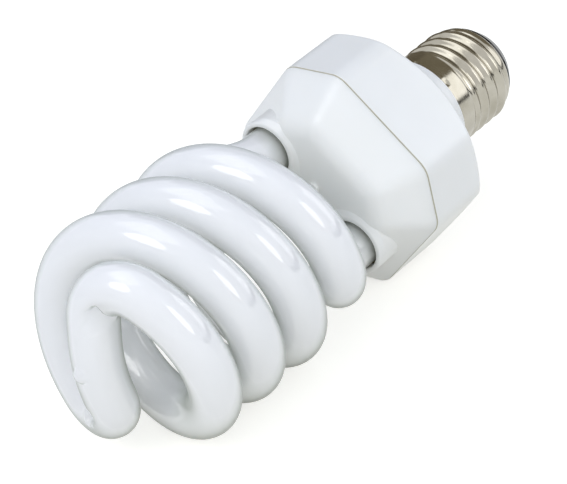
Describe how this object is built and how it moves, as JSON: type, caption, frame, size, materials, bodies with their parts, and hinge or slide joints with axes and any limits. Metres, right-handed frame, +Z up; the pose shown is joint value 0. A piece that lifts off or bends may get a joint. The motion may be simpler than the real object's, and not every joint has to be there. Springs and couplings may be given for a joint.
{
  "type": "uvb terrarium bulb",
  "caption": "Spiral compact fluorescent reptile lamp: a coiled white glass tube in a faceted white plastic ballast case with a nickel-plated screw cap, for lighting a terrarium.",
  "frame": {"origin": "middle of the lamp's length and width, on the surface that it lies on", "axes": "+X along the lamp's own axis from the glass tip to the screw cap, +Z up, with the lamp lying on one cut face of its case and on the coil"},
  "size_m": [0.152, 0.0586, 0.0586],
  "materials": {
    "coated_glass": "clear glossy glass over a white powder coating",
    "white_plastic": "satin moulded",
    "cement": "matt",
    "nickel_plated_brass": "bright nickel plate",
    "black_glass": "glossy opaque black",
    "tinned_brass": "dull tinned",
    "tinned_steel": "tinned wire",
    "board_laminate": "resin paper laminate",
    "capacitor_sleeve": "shrink sleeve",
    "ferrite": "fired, dark grey",
    "bobbin_plastic": "moulded",
    "enamelled_copper": "enamelled",
    "film_capacitor_epoxy": "dipped",
    "black_epoxy": "moulded",
    "resistor_coating": "coated",
    "wire_insulation": "insulated"
  },
  "bodies": {
    "root": {"discharge_tube": "coated_glass", "tube_holder": "white_plastic", "tube_cement": "cement", "ballast_housing": "white_plastic", "screw_shell": "nickel_plated_brass", "cap_insulator": "black_glass", "centre_contact": "tinned_brass", "circuit_board": "board_laminate", "filament_posts": "tinned_steel", "filament_leads": "tinned_steel", "electrolytic_capacitor": "capacitor_sleeve", "choke_core": "ferrite", "choke_bobbin": "bobbin_plastic", "choke_winding": "enamelled_copper", "ring_core": "ferrite", "ring_windings": "enamelled_copper", "resonant_capacitor": "film_capacitor_epoxy", "coupling_capacitor": "film_capacitor_epoxy", "switching_transistors": "black_epoxy", "rectifier_diodes": "black_epoxy", "fuse_resistor": "resistor_coating", "live_wire": "wire_insulation", "neutral_wire": "tinned_steel"}
  },
  "joints": []
}
